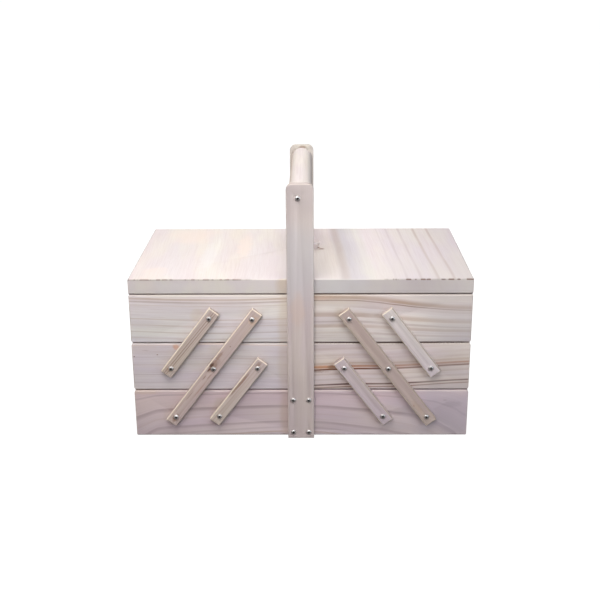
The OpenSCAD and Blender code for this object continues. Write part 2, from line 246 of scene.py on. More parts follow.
# The dark line along a front end, in millimetres: how softly it stops at the sides, how far below the
# face it fades out and is full, and how far from the lid's middle it sets in and is full on top
RIM_SIDE_FADE = 15.0
RIM_DEPTH = 1.4
RIM_FULL_DEPTH = 0.8
RIM_TOP_START = 86.0
RIM_TOP_FULL = 88.5
DEFAULTS = {
    "along": "X", "across": "Z", "face": 90.0, "centre": None, "pith": (-200.0, -60.0), "flow": None,
    "fan": 0.0, "wobble": 1.2, "spacing": 6.0, "strength": 0.25, "seed": 0.0, "pale": PALE, "late": LATE,
    "bands": (), "wash": (), "spots": (), "roughness": 0.62,
    "middle": 0.0, "figure": 1.0, "end_dark": 0.5, "end_fade": 0.6, "rim": None,
    "low_dark": 0.0, "dark_way": (0.0, 0.0, -1.0), "arris": 0.35, "arris_colour": (0.84, 0.76, 0.68),
}


def pine(name, **given):
    """A pine material for one board.

    along and across are the grain's direction and the direction across it on the visible face;
    face is that face's place through the board. All places are in millimetres, from the box's
    origin or from centre. pith is the pith's place, across and through, from the middle of the
    face. flow is how far the grain shifts across the board, as (along, shift) points. bands are
    single growth lines as (across, reach below, reach above, strength, colour). wash is a
    slow change of colour, as (across, colour factor). spots are (along, across, half length,
    half width, strength, colour). middle is the middle of the board across the grain, and fan is
    how much more of the flow each millimetre away from it gets. end_dark darkens the end grain,
    and end_fade hides bands and wash there. arris is how much paler the rounded edges are painted,
    partly as fresher sanded wood and partly as a painted highlight, and low_dark how dark those that
    face dark_way are painted as shade. rim draws a dark line with breaks along a front end, as
    (strength, share of it without breaks, first place across, last place across).
    """
    spec = dict(DEFAULTS, **given)
    material = bpy.data.materials.new(name)
    material.use_nodes = True
    tree = material.node_tree
    tree.nodes.clear()
    g = Graph(tree)
    l = AXES.get(spec["along"]) if isinstance(spec["along"], str) else spec["along"]
    t = AXES.get(spec["across"]) if isinstance(spec["across"], str) else spec["across"]
    n = l.cross(t)
    centre = spec["centre"] or Vector((0, 0, 0))
    point = g.node("ShaderNodeTexCoord").outputs["Object"]

    def coordinate(axis):
        dot = g.node("ShaderNodeVectorMath", operation="DOT_PRODUCT")
        g.feed(dot.inputs[0], point)
        dot.inputs[1].default_value = axis / MM
        return g.sub(dot.outputs["Value"], centre.dot(axis) / MM)

    along, across, depth = coordinate(l), coordinate(t), coordinate(n)
    where = g.join(along, across, depth)
    middle_across = spec["middle"]
    pith_across = middle_across + spec["pith"][0]
    pith_depth = spec["face"] + spec["pith"][1]
    radius = math.hypot(*spec["pith"])
    # how far a face looks along the grain
    normal = g.node("ShaderNodeNewGeometry").outputs["Normal"]
    local = g.node("ShaderNodeVectorTransform", vector_type="NORMAL", convert_from="WORLD",
                   convert_to="OBJECT")
    g.feed(local.inputs[0], normal)
    facing = g.node("ShaderNodeVectorMath", operation="DOT_PRODUCT")
    g.feed(facing.inputs[0], local.outputs[0])
    facing.inputs[1].default_value = l
    end_grain = g.remap(g.math("ABSOLUTE", facing.outputs["Value"]), 0.55, 0.95)

    wood = g.node("ShaderNodeGroup")
    wood.node_tree = PINE
    g.feed(wood.inputs["End grain"], end_grain)
    if spec["flow"]:
        path = spec["flow"]
        first, last = path[0][0], path[-1][0]
        low = min(p[1] for p in path)
        high = max(p[1] for p in path)
        span = max(high - low, 0.001)
        stops = [((p[0] - first) / (last - first), (p[1] - low) / span) for p in path]
        shift = g.ramp(g.remap(along, first, last, smooth=False), stops, "CARDINAL")
        shift = g.add(g.mul(shift, span), low)
        if spec["fan"]:
            shift = g.mul(shift, g.add(g.mul(g.sub(across, middle_across), spec["fan"]), 1.0))
        g.feed(wood.inputs["Flow"], shift)
    values = {
        "Grain": where, "Pith across": pith_across, "Pith depth": pith_depth, "Radius": radius,
        "Wobble": spec["wobble"], "Spacing": spec["spacing"], "Ring strength": spec["strength"],
        "Seed": spec["seed"], "Figure": spec["figure"], "Pale": rgba(spec["pale"]),
        "Late": rgba(spec["late"]),
    }
    for key, value in values.items():
        g.feed(wood.inputs[key], value)
    colour = wood.outputs["Colour"]
    ring = wood.outputs["Ring coordinate"]

    def reach(place):
        return math.hypot(place - pith_across, spec["pith"][1]) - radius

    def ring_ramp(stops, interpolation="LINEAR"):
        """stops are (place across, colour with alpha), in rising order of place."""
        low, high = reach(stops[0][0]), reach(stops[-1][0])
        made = g.node("ShaderNodeValToRGB")
        made.color_ramp.interpolation = interpolation
        elements = made.color_ramp.elements
        while len(elements) < len(stops):
            elements.new(0.5)
        last = -1.0
        for element, (place, shade) in zip(elements, stops):
            last = max((reach(place) - low) / (high - low), last + 1e-4)
            element.position = min(last, 1.0)
            element.color = shade
        g.feed(made.inputs[0], g.remap(ring, low, high, smooth=False))
        return made.outputs

    shown = g.sub(1.0, g.mul(end_grain, spec["end_fade"]))
    if spec["wash"]:
        wash = ring_ramp([(place, rgba(shade)) for place, shade in spec["wash"]], "EASE")
        colour = g.mix(shown, colour, wash[0], "MULTIPLY")
    breath = g.remap(g.noise(where, 0.018, 3.0), 0.30, 0.62, 0.65, 1.0)
    bands = sorted(spec["bands"])
    for group in (bands[:7], bands[7:14]):
        if not group:
            continue
        stops = []
        for place, below, above, dark, shade in group:
            stops.append((place - below, (*shade, 0.0)))
            stops.append((place - 0.3 * below, (*shade, dark)))
            stops.append((place + 0.3 * above, (*shade, dark)))
            stops.append((place + above, (*shade, 0.0)))
        stops.sort(key=lambda stop: stop[0])
        band = ring_ramp(stops)
        colour = g.mix(g.mul(g.mul(band[1], breath), shown), colour, band[0])
    for at, side, half_long, half_wide, dark, shade in spec["spots"]:
        ripple = g.mul(g.sub(g.noise(where, 1.2 / half_wide, 2.0), 0.5), 0.8)
        u = g.math("DIVIDE", g.sub(along, at), half_long)
        v = g.math("DIVIDE", g.sub(across, side), half_wide)
        away = g.add(g.math("SQRT", g.add(g.mul(u, u), g.mul(v, v))), ripple)
        colour = g.mix(g.mul(g.remap(away, 1.0, 0.35), dark), colour, rgba(shade))

    # arrises are painted paler: partly fresher sanded wood, partly a painted highlight
    turned = []
    for axis in (l, t, n):
        turn = g.node("ShaderNodeVectorMath", operation="DOT_PRODUCT")
        g.feed(turn.inputs[0], local.outputs[0])
        turn.inputs[1].default_value = axis
        turned.append(g.math("ABSOLUTE", turn.outputs["Value"]))
    flat = g.math("MAXIMUM", g.math("MAXIMUM", turned[0], turned[1]), turned[2])
    arris = g.remap(flat, 0.985, 0.85)
    if spec["arris"]:
        colour = g.mix(g.mul(arris, spec["arris"]), colour, rgba(spec["arris_colour"]))
    # painted shade: arrises that face the given way, such as those over a gap and those on the links' sides
    # away from the light, are painted dark
    away = g.node("ShaderNodeVectorMath", operation="DOT_PRODUCT")
    g.feed(away.inputs[0], local.outputs[0])
    away.inputs[1].default_value = spec["dark_way"]
    painted_arris_shade = g.mul(g.mul(arris, g.remap(away.outputs["Value"], 0.25, 0.6)), spec["low_dark"])
    colour = g.mix(painted_arris_shade, colour, rgba(KNOT_AND_SHADE))
    if spec["rim"]:
        # a dark line with breaks along the top edge of a board's front end, and sparse dark marks on the top
        # near the ends
        strength, solid_share, first, last = spec["rim"]
        below = g.sub(depth, spec["face"])
        rim_noise = g.remap(g.noise(g.join(across, g.mul(along, 0.15), 0.0), 0.20, 2.0), 0.44, 0.56)
        rise = g.remap(across, first - RIM_SIDE_FADE, first + RIM_SIDE_FADE)
        span = g.mul(rise, g.remap(across, last + RIM_SIDE_FADE, last - RIM_SIDE_FADE))
        marks = g.mul(g.remap(rim_noise, 0.0, 1.0, solid_share, 1.0), span)
        line = g.mul(g.remap(below, RIM_DEPTH, RIM_FULL_DEPTH), g.math("MAXIMUM", end_grain, arris))
        colour = g.mix(g.mul(g.mul(line, marks), strength), colour, rgba(KNOT_AND_SHADE))
        near_end = g.remap(g.math("ABSOLUTE", along), RIM_TOP_START, RIM_TOP_FULL)
        edge = g.mul(near_end, g.remap(rim_noise, 0.85, 1.0))
        edge = g.mul(g.mul(edge, g.sub(1.0, end_grain)), span)
        colour = g.mix(g.mul(edge, 0.4 * strength), colour, rgba(BROWN))
    # cut fibres darken the ends of a board
    cut = g.mix(1.0, colour, (0.80, 0.72, 0.66, 1.0), "MULTIPLY")
    colour = g.mix(g.mul(end_grain, spec["end_dark"]), colour, cut)

    shader = g.node("ShaderNodeBsdfPrincipled")
    g.feed(shader.inputs["Base Color"], colour)
    shader.inputs["Specular IOR Level"].default_value = 0.30
    rough = spec["roughness"]
    relief = wood.outputs["Relief"]
    g.feed(shader.inputs["Roughness"], g.remap(relief, 0.0, 1.0, rough - 0.07, rough + 0.06, smooth=False))
    bump = g.node("ShaderNodeBump")
    bump.inputs["Strength"].default_value = 0.22
    bump.inputs["Distance"].default_value = 0.00018
    g.feed(bump.inputs["Height"], relief)
    g.feed(shader.inputs["Normal"], bump.outputs[0])
    g.feed(g.node("ShaderNodeOutputMaterial").inputs["Surface"], shader.outputs[0])
    return material


# ---------------------------------------------------------------- plywood and steel
def plywood():
    """Thin plywood: a pale rotary-cut face with a wavy figure and short dark flecks."""
    material = bpy.data.materials.new("plywood")
    material.use_nodes = True
    tree = material.node_tree
    tree.nodes.clear()
    g = Graph(tree)
    x, y = g.split(g.node("ShaderNodeTexCoord").outputs["Object"])[:2]
    flow = g.noise(g.join(g.mul(x, 6.0), g.mul(y, 30.0), 0.0), 1.0, 2.0)
    figure = g.noise(g.join(g.mul(x, 14.0), g.add(g.mul(y, 160.0), g.mul(flow, 5.0)), 0.0), 1.0, 3.0, 0.6)
    fleck = g.remap(g.noise(g.join(g.mul(x, 180.0), g.mul(y, 2400.0), 0.0), 1.0, 1.0), 0.66, 0.76)
    colour = g.mix(g.remap(figure, 0.35, 0.68), (0.70, 0.585, 0.47, 1.0), (0.60, 0.465, 0.345, 1.0))
    colour = g.mix(g.mul(fleck, 0.35), colour, (0.36, 0.24, 0.15, 1.0))
    shader = g.node("ShaderNodeBsdfPrincipled")
    g.feed(shader.inputs["Base Color"], colour)
    g.feed(shader.inputs["Roughness"], g.remap(figure, 0.3, 0.7, 0.56, 0.66))
    shader.inputs["Specular IOR Level"].default_value = 0.35
    bump = g.node("ShaderNodeBump")
    bump.inputs["Strength"].default_value = 0.2
    bump.inputs["Distance"].default_value = 0.0001
    g.feed(bump.inputs["Height"], g.sub(figure, fleck))
    g.feed(shader.inputs["Normal"], bump.outputs[0])
    g.feed(g.node("ShaderNodeOutputMaterial").inputs["Surface"], shader.outputs[0])
    return material


def steel(name, colour, roughness, scratch_scale=900.0):
    material = bpy.data.materials.new(name)
    material.use_nodes = True
    tree = material.node_tree
    tree.nodes.clear()
    g = Graph(tree)
    point = g.node("ShaderNodeTexCoord").outputs["Object"]
    cloud = g.noise(point, scratch_scale, 4.0, 0.6)
    shader = g.node("ShaderNodeBsdfPrincipled")
    shader.inputs["Metallic"].default_value = 1.0
    dull = tuple(0.80 * c for c in colour)
    g.feed(shader.inputs["Base Color"], g.mix(g.remap(cloud, 0.35, 0.65), rgba(colour), rgba(dull)))
    g.feed(shader.inputs["Roughness"], g.remap(cloud, 0.3, 0.7, roughness - 0.06, roughness + 0.10))
    bump = g.node("ShaderNodeBump")
    bump.inputs["Strength"].default_value = 0.15
    bump.inputs["Distance"].default_value = 0.00005
    g.feed(bump.inputs["Height"], cloud)
    g.feed(shader.inputs["Normal"], bump.outputs[0])
    g.feed(g.node("ShaderNodeOutputMaterial").inputs["Surface"], shader.outputs[0])
    return material


PLYWOOD = plywood()
SCREW_STEEL = steel("screw_steel", (0.86, 0.84, 0.83), 0.36)
# the recess steel is near black: painted shade inside the screws' cross recess
RECESS_SHADE_STEEL = steel("recess_shade_steel", (0.10, 0.09, 0.09), 0.55)
HINGE_STEEL = steel("hinge_steel", (0.66, 0.64, 0.62), 0.34)

# ---------------------------------------------------------------- the boards that show most
# Colours of growth lines and stains, some also used for painted shade
TAN = (0.46, 0.31, 0.22)
BROWN = (0.30, 0.17, 0.11)
UMBER = (0.30, 0.17, 0.12)
RUST = (0.42, 0.20, 0.12)
ORANGE = (0.66, 0.34, 0.19)
PEACH = (0.76, 0.56, 0.46)
PLUM = (0.34, 0.24, 0.25)
KNOT_AND_SHADE = (0.13, 0.07, 0.05)

# Places on the front boards are X and Z of the box, in millimetres
# The pale tones darken from the top tray down to the base: partly the boards' own tone, partly painted shade
# of light that falls off downwards
FRONT_BOARDS = {
    "left_top_tray_front_board": {
        "middle": 120.0, "seed": 1.0, "spacing": 9.0, "strength": 0.04, "wobble": 0.8, "figure": 0.8,
        "pale": (0.785, 0.732, 0.725),
        "flow": ((-160, 0.6), (-120, -0.6), (-80, -1.2), (-40, -0.8), (0, 0.4)),
        "bands": (
            (140.0, 1.8, 1.0, 0.60, TAN), (137.0, 1.2, 0.9, 0.42, BROWN), (133.5, 1.0, 0.8, 0.25, TAN),
            (120.0, 1.0, 0.8, 0.40, TAN), (114.0, 1.4, 0.8, 0.32, TAN), (107.0, 1.0, 0.8, 0.35, BROWN),
            (101.0, 1.2, 0.8, 0.24, TAN),
        ),
        "spots": (
            # the next two spots are painted warm shade: left of the upright and beside a link
            (-15.0, 120.0, 9.0, 50.0, 0.35, (0.68, 0.57, 0.43)),
            (-97.0, 124.0, 8.0, 9.0, 0.35, (0.70, 0.60, 0.47)),
        ),
        "wash": ((96, (0.98, 1.0, 1.0)), (122, (1.0, 1.0, 1.0)), (144, (1.02, 1.0, 0.97))),
    },
    "right_top_tray_front_board": {
        "middle": 120.0, "seed": 2.0, "spacing": 9.0, "strength": 0.08, "wobble": 0.7, "fan": 0.028,
        "pale": (0.755, 0.68, 0.66),
        "flow": ((0, 0.0), (40, -0.2), (60, -0.8), (80, -2.5), (100, -4.6), (130, -7.0), (160, -8.2)),
        "bands": (
            (138.4, 0.9, 0.8, 0.75, BROWN), (140.6, 1.4, 5.0, 0.80, TAN), (123.5, 2.2, 4.5, 0.55, TAN),
            (117.0, 1.0, 1.5, 0.30, BROWN), (112.5, 1.8, 3.5, 0.50, TAN), (106.0, 1.0, 2.0, 0.25, TAN),
        ),
        "wash": (
            (97, (0.99, 0.99, 1.0)), (112, (1.02, 1.03, 1.02)), (117, (0.98, 0.98, 0.98)),
            (122, (1.05, 1.06, 1.05)), (131, (1.06, 1.07, 1.06)), (136, (0.94, 0.91, 0.88)),
            (144, (1.02, 1.0, 0.98)),
        ),
        "spots": (
            # (172, 122) darkens the right end: partly the wood's own tone, partly painted shade of light that
            # is weaker on the right
            (172.0, 122.0, 90.0, 60.0, 0.36, (0.48, 0.44, 0.44)), (14.0, 140.5, 30.0, 2.6, 0.45, PEACH),
            # (36, 126) is painted warm shade beside a link
            (36.0, 126.0, 6.0, 8.0, 0.35, (0.60, 0.51, 0.40)),
        ),
    },
    "left_middle_tray_front_board": {
        "middle": 72.0, "seed": 3.0, "spacing": 9.0, "strength": 0.03, "wobble": 0.9, "figure": 0.8,
        "pale": (0.685, 0.62, 0.635),
        "flow": ((-160, 0.0), (-80, 0.9), (0, -0.5)),
        "bands": (
            (93.6, 0.8, 0.8, 0.55, PEACH), (82.0, 0.9, 0.5, 0.22, PLUM), (74.0, 1.2, 0.5, 0.18, TAN),
            (64.0, 0.8, 0.6, 0.24, PLUM), (56.0, 1.0, 0.5, 0.18, PLUM),
        ),
        "spots": (
            (-118.0, 92.0, 4.2, 3.4, 0.62, ORANGE), (-136.0, 84.2, 1.1, 0.8, 0.85, UMBER),
            (-158.0, 82.3, 0.9, 0.8, 0.95, KNOT_AND_SHADE), (-147.0, 88.6, 4.5, 0.8, 0.32, PLUM),
            # (-15, 72), (-96, 72) and (-82, 90) are painted warm shade, left of the upright and beside the
            # links
            (-15.0, 72.0, 9.0, 50.0, 0.28, (0.64, 0.53, 0.42)),
            (-96.0, 72.0, 14.0, 9.0, 0.22, (0.60, 0.52, 0.46)),
            (-150.0, 91.0, 22.0, 6.0, 0.25, (0.66, 0.54, 0.50)),
            (-82.0, 90.0, 8.0, 7.0, 0.22, (0.62, 0.53, 0.44)),
        ),
    },
    "right_middle_tray_front_board": {
        "middle": 72.0, "seed": 4.0, "spacing": 8.0, "strength": 0.08, "wobble": 0.35,
        "pale": (0.69, 0.605, 0.585),
        "flow": ((0, -0.6), (40, 1.2), (90, 1.9), (125, 4.0), (160, 6.2)),
        "bands": (
            (68.0, 1.3, 1.3, 1.0, (0.16, 0.05, 0.03)), (70.6, 1.4, 1.6, 0.90, RUST),
            (74.0, 1.4, 1.4, 0.50, TAN),
            (52.2, 1.1, 1.2, 1.0, (0.13, 0.05, 0.04)), (49.4, 0.9, 0.9, 0.90, UMBER),
            (57.0, 0.6, 2.2, 0.30, TAN),
            (62.5, 0.6, 1.8, 0.30, TAN), (82.0, 0.8, 2.0, 0.25, TAN), (88.0, 0.8, 2.0, 0.20, TAN),
        ),
        "spots": (
            (18.0, 71.4, 26.0, 2.4, 0.55, ORANGE), (12.0, 66.4, 20.0, 1.0, 0.60, UMBER),
            # (85, 95.9) is painted shade: a dark line along the gap over the board's top edge
            (29.0, 71.0, 5.0, 3.4, 0.70, BROWN), (85.0, 95.9, 130.0, 1.5, 0.85, KNOT_AND_SHADE),
            # (150, 72) darkens the right end: partly the wood's own tone, partly painted shade
            (150.0, 72.0, 60.0, 40.0, 0.18, (0.48, 0.43, 0.43)),
        ),
        "wash": (
            (49, (0.98, 0.97, 0.96)), (51, (1.10, 1.08, 1.02)), (58, (1.06, 1.07, 1.07)),
            (66, (1.06, 1.05, 1.02)),
            (69, (0.96, 0.90, 0.84)), (76, (1.02, 1.0, 0.97)), (84, (1.06, 1.06, 1.06)),
            (95, (0.98, 0.98, 0.98)),
        ),
    },
    "base_front_board": {
        "middle": 24.0, "seed": 5.0, "spacing": 12.0, "strength": 0.03, "figure": 0.4, "wobble": 0.8,
        "fan": -0.026,
        "pale": (0.65, 0.54, 0.56),
        "flow": (
            (-160, -11.0), (-140, -5.4), (-105, -3.2), (-50, -1.0), (0, 0.0), (40, -2.2), (85, -6.4),
            (110, -9.6), (132, -14.0), (150, -19.0), (160, -22.0),
        ),
        "bands": (
            (44.6, 1.0, 0.8, 0.40, PLUM), (31.5, 3.5, 0.9, 0.66, PLUM), (23.0, 1.5, 0.8, 0.14, TAN),
            (14.8, 2.5, 0.9, 0.50, PLUM), (8.6, 1.5, 0.8, 0.25, PLUM), (4.2, 1.2, 0.9, 0.50, TAN),
        ),
        "spots": (
            (146.0, 33.0, 12.0, 4.0, 0.35, PLUM), (138.0, 37.0, 3.0, 0.7, 0.5, UMBER),
            # (150, 24) darkens the right end: partly the wood's own tone, partly painted shade
            (150.0, 24.0, 90.0, 34.0, 0.42, (0.39, 0.37, 0.45)),
            # (-15, 24), (-78, 33) and (-128, 22) are painted warm shade, left of the upright and beside the
            # links
            (-15.0, 24.0, 8.0, 50.0, 0.35, (0.55, 0.43, 0.34)),
            (-150.0, 46.0, 20.0, 4.0, 0.5, (0.68, 0.52, 0.42)),
            (-78.0, 33.0, 8.0, 10.0, 0.35, (0.50, 0.41, 0.32)),
            (-128.0, 22.0, 7.0, 8.0, 0.25, (0.50, 0.40, 0.34)),
        ),
        "wash": ((0, (0.97, 0.98, 1.0)), (20, (1.0, 1.0, 1.0)), (47, (1.03, 1.0, 0.98))),
    },
}
# Places on the lids are Y and X of the box: the grain runs from front to rear
LIDS = {
    "right_lid": {
        "arris": 0.25, "end_dark": 0.22, "rim": (0.85, 0.25, 85.0, 180.0),
        "along": "Y", "across": "X", "face": -159.0, "middle": 80.0, "seed": 7.0, "spacing": 7.0,
        "strength": 0.03, "figure": 0.12, "wobble": 0.9, "pale": (0.70, 0.645, 0.635), "pith": (-170.0, 60.0),
        "flow": ((-90, 4.4), (-30, 1.6), (30, -1.4), (90, -4.4)),
        "bands": (
            (138.2, 2.4, 1.6, 0.75, (0.52, 0.41, 0.38)), (123.4, 2.4, 1.6, 0.75, (0.52, 0.42, 0.38)),
            (107.6, 2.2, 1.4, 0.55, (0.52, 0.42, 0.42)), (94.6, 2.0, 1.4, 0.42, (0.52, 0.43, 0.43)),
            (84.0, 1.4, 1.2, 0.30, (0.56, 0.48, 0.48)),
            (38.0, 4.0, 6.0, 0.60, (0.50, 0.40, 0.37)),
        ),
        "wash": (
            (0, (1.0, 0.98, 0.97)), (16, (1.09, 1.07, 1.06)), (30, (1.10, 1.08, 1.05)),
            (36, (0.93, 0.91, 0.90)),
            (46, (0.88, 0.90, 0.94)), (54, (0.95, 0.98, 0.99)), (61, (1.04, 1.08, 1.02)),
            (70, (1.09, 1.08, 1.06)),
            (98, (1.03, 1.02, 1.03)), (116, (1.00, 1.0, 1.01)), (130, (1.01, 1.0, 0.99)),
            (146, (0.97, 0.96, 0.98)),
            (160, (0.97, 0.96, 0.98)),
        ),
        "spots": (
            # (10, 20.5) and (15, 16.5) are a painted shadow of the knob on the lid
            (-95.0, 80.0, 110.0, 200.0, 0.35, (0.62, 0.57, 0.56)), (10.0, 20.5, 2.8, 4.2, 0.95, UMBER),
            (15.0, 16.5, 2.4, 3.4, 0.95, UMBER), (-94.0, 40.0, 8.0, 40.0, 0.45, (0.74, 0.76, 0.79)),
            (-94.0, 118.0, 8.0, 50.0, 0.40, (0.52, 0.45, 0.45)),
        ),
    },
    "left_lid": {
        "arris": 0.25, "end_dark": 0.25, "rim": (0.65, 0.60, -180.0, -50.0),
        "along": "Y", "across": "X", "face": -159.0, "middle": -80.0, "seed": 8.0, "spacing": 9.0,
        "strength": 0.03, "figure": 0.15, "wobble": 2.5, "pale": (0.768, 0.720, 0.69), "pith": (-200.0, 60.0),
        "flow": ((-90, 2.0), (0, 0.0), (90, -3.0)),
        "wash": (
            (-160, (1.0, 0.965, 0.95)), (-145, (1.0, 0.98, 0.975)), (-125, (1.0, 0.995, 0.985)),
            (-100, (1.01, 0.985, 0.97)), (-88, (1.02, 1.02, 1.005)), (-66, (1.01, 0.98, 0.95)),
            (-45, (1.0, 0.99, 0.985)), (-20, (1.0, 0.975, 0.985)), (0, (1.0, 0.985, 0.98)),
        ),
        "spots": (
            (60.0, -115.0, 45.0, 34.0, 0.50, (0.84, 0.70, 0.62)),
            (25.0, -58.0, 60.0, 10.0, 0.50, (0.84, 0.70, 0.62)),
            (-20.0, -92.0, 60.0, 9.0, 0.45, (0.81, 0.78, 0.75)),
            (10.0, -85.0, 70.0, 2.0, 0.30, (0.86, 0.82, 0.78)),
            (-70.0, -138.0, 30.0, 16.0, 0.45, (0.84, 0.70, 0.63)),
            (-60.0, -84.0, 40.0, 4.0, 0.35, (0.74, 0.66, 0.62)),
            (-30.0, -20.0, 80.0, 22.0, 0.35, (0.80, 0.71, 0.71)),
            # painted warm shade on the front end, left of the upright
            (-92.0, -15.0, 6.0, 12.0, 0.50, (0.68, 0.57, 0.42)),
            (-93.0, -130.0, 6.0, 40.0, 0.35, (0.66, 0.66, 0.69)),
        ),
    },
}


# ---------------------------------------------------------------- screws with a cross recess
def islands(mesh):
    """The lowest and highest corners of each separate solid in a mesh."""
    bm = bmesh.new()
    bm.from_mesh(mesh)
    bmesh.ops.remove_doubles(bm, verts=bm.verts, dist=SAME_PLACE)
    seen = set()
    boxes = []
    for first in bm.verts:
        if first in seen:
            continue
        seen.add(first)
        queue = [first]
        group = []
        while queue:
            vert = queue.pop()
            group.append(vert.co.copy())
            for edge in vert.link_edges:
                other = edge.other_vert(vert)
                if other not in seen:
                    seen.add(other)
                    queue.append(other)
        low = Vector([min(c[i] for c in group) for i in range(3)])
        high = Vector([max(c[i] for c in group) for i in range(3)])
        boxes.append((low, high))
    bm.free()
    return boxes


HEAD_HEIGHT = 1.8 * MM
RECESS_LENGTH = 3.2 * MM
RECESS_WIDTH = 0.85 * MM
RECESS_DEPTH = 1.3 * MM
HEAD_RADIUS = 2.5 * MM
SHANK_RADIUS = 1.5 * MM
WASHER_BORE_RADIUS = 1.58 * MM
# A solid shorter than this along Y is a washer, and a longer one a screw
SHORTEST_SCREW = 3 * MM
# The head's outline from its rim to its crown, as (part of the radius, part of the height)
HEAD_OUTLINE = (
    (0.93, 0.0), (0.985, 0.03), (1.0, 0.10), (1.0, 0.24), (0.985, 0.40), (0.945, 0.56), (0.87, 0.72),
    (0.76, 0.85),
    (0.62, 0.93), (0.46, 0.975), (0.30, 0.995), (0.15, 1.0),
)


def solid(name, verts, faces):
    mesh = bpy.data.meshes.new(name)
    mesh.from_pydata(verts, [], faces)
    mesh.update()
    return mesh


def head_mesh(radius):
    """A pan head on the axis -Z to +Z, its seat at z = 0, with a tapered cross recess cut in it."""
    count = 48
    verts = []
    for r, h in HEAD_OUTLINE:
        for i in range(count):
            turn = 2 * math.pi * i / count
            verts.append((r * radius * math.cos(turn), r * radius * math.sin(turn), h * HEAD_HEIGHT))
    faces = [tuple(reversed(range(count)))]
    for ring in range(len(HEAD_OUTLINE) - 1):
        for i in range(count):
            j = (i + 1) % count
            base = ring * count
            faces.append((base + i, base + j, base + count + j, base + count + i))
    last = (len(HEAD_OUTLINE) - 1) * count
    faces.append(tuple(range(last, last + count)))
    head = bpy.data.objects.new("head", solid("head", verts, faces))

    # the cutter: two crossed wedges that narrow towards the bottom
    bm = bmesh.new()
    for turn in (0.0, math.pi / 2):
        rot = Matrix.Rotation(turn, 4, "Z")
        rings = []
        for depth, length, width in ((-0.4 * MM, 1.04, 1.06), (RECESS_DEPTH, 0.42, 0.62)):
            z = HEAD_HEIGHT - depth
            half = 0.5 * RECESS_LENGTH * length
            side = 0.5 * RECESS_WIDTH * width
            corners = [(half, side, z), (-half, side, z), (-half, -side, z), (half, -side, z)]
            rings.append([bm.verts.new(rot @ Vector(c)) for c in corners])
        top, low = rings
        bm.faces.new(top)
        bm.faces.new(list(reversed(low)))
        for i in range(4):
            j = (i + 1) % 4
            bm.faces.new((top[j], top[i], low[i], low[j]))
    bmesh.ops.recalc_face_normals(bm, faces=bm.faces)
    cutter_mesh = bpy.data.meshes.new("cutter")
    bm.to_mesh(cutter_mesh)
    bm.free()
    cutter = bpy.data.objects.new("cutter", cutter_mesh)
    for made in (head, cutter):
        bpy.context.scene.collection.objects.link(made)
    cut = head.modifiers.new("cut", "BOOLEAN")
    cut.operation = "DIFFERENCE"
    cut.object = cutter
    cut.solver = "EXACT"
    cut.use_self = True
    bpy.context.view_layer.update()
    done = bpy.data.meshes.new_from_object(head.evaluated_get(bpy.context.evaluated_depsgraph_get()))
    for made in (head, cutter):
        bpy.data.objects.remove(made)
    return done


def add_tube(bm, centre, inner, outer, start, stop, slot):
    """A round tube along Y, or a rod when inner is 0, with a small chamfer at its ends."""
    count = 40
    ease = min(0.15 * MM, 0.3 * abs(stop - start))
    way = 1 if stop > start else -1
    outline = [
        (outer - ease, start), (outer, start + way * ease), (outer, stop - way * ease), (outer - ease, stop),
    ]
    if inner:
        outline += [(inner, stop), (inner, start)]
    rings = []
    for r, y in outline:
        ring = []
        for i in range(count):
            turn = 2 * math.pi * i / count
            ring.append(bm.verts.new((centre.x + r * math.cos(turn), y, centre.z + r * math.sin(turn))))
        rings.append(ring)
    pairs = list(zip(rings, rings[1:]))
    if inner:
        pairs.append((rings[-1], rings[0]))
    for a, b in pairs:
        for i in range(count):
            j = (i + 1) % count
            bm.faces.new((a[i], a[j], b[j], b[i])).material_index = slot
    if not inner:
        bm.faces.new(rings[0]).material_index = slot
        bm.faces.new(rings[-1]).material_index = slot


def detailed_screws(node, body, heads):
    """Replaces a node of screws and washers by detailed ones at the same places."""
    bm = bmesh.new()
    for number, (low, high) in enumerate(islands(NODES[node].data)):
        centre = (low + high) / 2
        size = high - low
        out = -1 if centre.y < 0 else 1
        outer = low.y if out < 0 else high.y
        inner = high.y if out < 0 else low.y
        if size.y < SHORTEST_SCREW:
            add_tube(bm, centre, WASHER_BORE_RADIUS, size.x / 2, outer, inner, 0)
            continue
        seat = outer - out * HEAD_HEIGHT
        add_tube(bm, centre, 0.0, SHANK_RADIUS, seat, inner, 0)
        spin = Matrix.Rotation(0.7 * number + 0.3, 4, "Z")
        stand = Matrix.Rotation(math.pi / 2 * -out, 4, "X")
        place = Matrix.Translation((centre.x, seat, centre.z)) @ stand @ spin
        before = len(bm.verts)
        bm.from_mesh(heads)
        bm.verts.ensure_lookup_table()
        bmesh.ops.transform(bm, matrix=place, verts=bm.verts[before:])
    bmesh.ops.recalc_face_normals(bm, faces=bm.faces)
    for face in bm.faces:
        face.smooth = True
    mesh = bpy.data.meshes.new(node + "_detailed")
    bm.to_mesh(mesh)
    bm.free()
    mesh.materials.append(SCREW_STEEL)
    mesh.materials.append(RECESS_SHADE_STEEL)
    mesh.set_sharp_from_angle(angle=math.radians(32.0))
    piece = bpy.data.objects.new(node + "_detailed", mesh)
    bpy.context.scene.collection.objects.link(piece)
    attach(piece, body)
    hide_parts(node)


# ---------------------------------------------------------------- soft edges and materials on the CAD nodes
def middle(node):
    low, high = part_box(node)
    return (low + high) / 2


BOARD_EDGE = 0.0004
SMALL_EDGE = 0.0003
HINGE_EDGE = 0.0001


